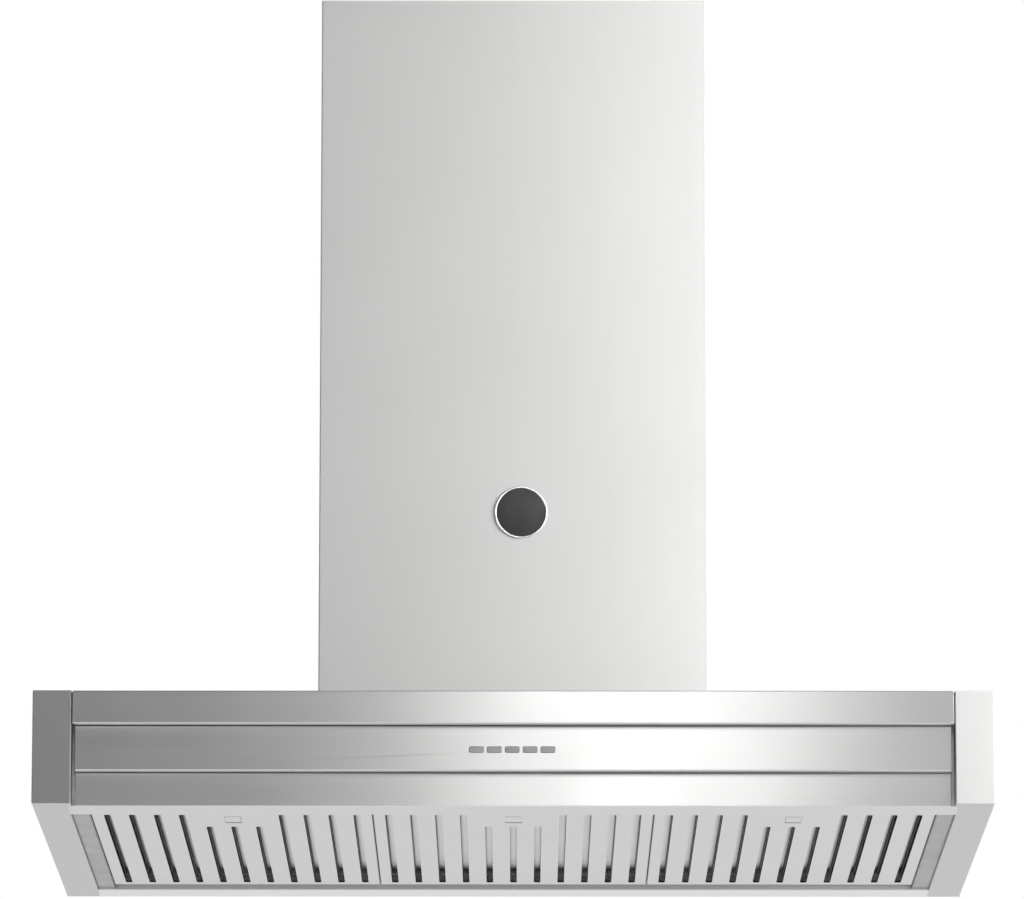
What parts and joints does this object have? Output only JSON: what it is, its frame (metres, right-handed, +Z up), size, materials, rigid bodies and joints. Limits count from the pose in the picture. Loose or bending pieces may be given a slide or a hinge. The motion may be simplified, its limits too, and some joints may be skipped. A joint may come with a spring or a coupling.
{
  "type": "chimney range hood",
  "caption": "Wall chimney range hood: flat box canopy with end posts, push buttons, baffle filters, side lamps, blower, damper and telescopic chimney.",
  "frame": {"origin": "centre of the canopy's underside, on the plane of its lower rim", "axes": "+X to the right seen from the front, +Y towards the wall, +Z up"},
  "size_m": [0.9, 0.6, 0.854],
  "materials": {
    "canopy_steel": "horizontally brushed stainless steel",
    "rim_steel": "stainless steel brushed from front to back",
    "chimney_steel": "vertically shaded, finely brushed stainless steel",
    "filter_steel": "satin stainless steel",
    "galvanised": "zinc-coated sheet, spangled",
    "lamp_aluminium": "satin extruded aluminium",
    "frosted_lens": "frosted acrylic",
    "button_plastic": "silver-grey moulded plastic",
    "black_plastic": "black moulded plastic",
    "grey_plastic": "grey glass-filled plastic",
    "circuit_board": "green circuit board",
    "badge_black": "gloss black, blank",
    "badge_chrome": "polished",
    "rubber": "black rubber",
    "motor_alloy": "cast aluminium",
    "bright_steel": "zinc-plated steel",
    "wire_sleeve": "dark wire sleeve"
  },
  "bodies": {
    "hood": {"canopy_top": "canopy_steel", "left_side_panel": "canopy_steel", "right_side_panel": "canopy_steel", "rear_panel": "rim_steel", "control_strip": "canopy_steel", "lower_front_strip": "canopy_steel", "front_bulkhead": "galvanised", "inner_front_cover": "galvanised", "filter_hinge_rod": "bright_steel", "button_carrier": "black_plastic", "control_board": "circuit_board", "electronics_box": "grey_plastic", "lamp_driver": "black_plastic", "motor_capacitor": "grey_plastic", "lamp_channel_left": "lamp_aluminium", "lamp_channel_right": "lamp_aluminium", "lamp_lens_left": "frosted_lens", "lamp_lens_right": "frosted_lens", "lamp_boards": "circuit_board", "lower_chimney_cover": "chimney_steel", "chimney_stops": "black_plastic", "badge_ring": "badge_chrome", "badge_disc": "badge_black", "blower_box": "galvanised", "scroll_left": "black_plastic", "scroll_right": "black_plastic", "motor": "motor_alloy", "motor_bracket": "galvanised", "motor_grommets": "rubber", "outlet_collar": "black_plastic", "damper_pin": "bright_steel", "pan_head_screws": "bright_steel", "terminal_box": "grey_plastic", "cable_gland": "black_plastic", "wiring_loom": "wire_sleeve"},
    "upper_cover": {"upper_chimney_cover": "chimney_steel"},
    "impeller": {"impeller": "grey_plastic", "impeller_shaft": "bright_steel"},
    "flap_front": {"damper_flap_front": "black_plastic"},
    "flap_rear": {"damper_flap_rear": "black_plastic"},
    "button_1": {"button_1": "button_plastic"},
    "button_2": {"button_2": "button_plastic"},
    "button_3": {"button_3": "button_plastic"},
    "button_4": {"button_4": "button_plastic"},
    "button_5": {"button_5": "button_plastic"},
    "filter_left": {"filter_pan_left": "filter_steel", "filter_baffles_left": "filter_steel", "filter_stays_left": "filter_steel"},
    "latch_left": {"filter_latch_left": "filter_steel"},
    "filter_middle": {"filter_pan_middle": "filter_steel", "filter_baffles_middle": "filter_steel", "filter_stays_middle": "filter_steel"},
    "latch_middle": {"filter_latch_middle": "filter_steel"},
    "filter_right": {"filter_pan_right": "filter_steel", "filter_baffles_right": "filter_steel", "filter_stays_right": "filter_steel"},
    "latch_right": {"filter_latch_right": "filter_steel"}
  },
  "joints": [
    {"name": "chimney_slide", "type": "slide", "parent": "hood", "child": "upper_cover", "axis": [0, 0, 1], "range_m": [0, 0.4]},
    {"name": "button_press_1", "type": "slide", "parent": "hood", "child": "button_1", "axis": [0, 1, 0], "range_m": [0, 0.001], "stiffness_N_per_m": 1000},
    {"name": "button_press_2", "type": "slide", "parent": "hood", "child": "button_2", "axis": [0, 1, 0], "range_m": [0, 0.001], "stiffness_N_per_m": 1000},
    {"name": "button_press_3", "type": "slide", "parent": "hood", "child": "button_3", "axis": [0, 1, 0], "range_m": [0, 0.001], "stiffness_N_per_m": 1000},
    {"name": "button_press_4", "type": "slide", "parent": "hood", "child": "button_4", "axis": [0, 1, 0], "range_m": [0, 0.001], "stiffness_N_per_m": 1000},
    {"name": "button_press_5", "type": "slide", "parent": "hood", "child": "button_5", "axis": [0, 1, 0], "range_m": [0, 0.001], "stiffness_N_per_m": 1000},
    {"name": "filter_swing_left", "type": "hinge", "parent": "hood", "child": "filter_left", "pos_m": [-0.266, 0.25, 0.012], "axis": [1, 0, 0], "range_deg": [0, 75]},
    {"name": "filter_swing_middle", "type": "hinge", "parent": "hood", "child": "filter_middle", "pos_m": [0, 0.25, 0.012], "axis": [1, 0, 0], "range_deg": [0, 75]},
    {"name": "filter_swing_right", "type": "hinge", "parent": "hood", "child": "filter_right", "pos_m": [0.266, 0.25, 0.012], "axis": [1, 0, 0], "range_deg": [0, 75]},
    {"name": "latch_slide_left", "type": "slide", "parent": "filter_left", "child": "latch_left", "axis": [0, 1, 0], "range_m": [0, 0.006], "stiffness_N_per_m": 300},
    {"name": "latch_slide_middle", "type": "slide", "parent": "filter_middle", "child": "latch_middle", "axis": [0, 1, 0], "range_m": [0, 0.006], "stiffness_N_per_m": 300},
    {"name": "latch_slide_right", "type": "slide", "parent": "filter_right", "child": "latch_right", "axis": [0, 1, 0], "range_m": [0, 0.006], "stiffness_N_per_m": 300},
    {"name": "impeller_spin", "type": "hinge", "parent": "hood", "child": "impeller", "pos_m": [0, 0.145, 0.285], "axis": [1, 0, 0], "continuous": true},
    {"name": "flap_front_swing", "type": "hinge", "parent": "hood", "child": "flap_front", "pos_m": [0, 0.21, 0.482], "axis": [-1, 0, 0], "range_deg": [0, 80]},
    {"name": "flap_rear_swing", "type": "hinge", "parent": "hood", "child": "flap_rear", "pos_m": [0, 0.21, 0.482], "axis": [1, 0, 0], "range_deg": [0, 80]}
  ]
}
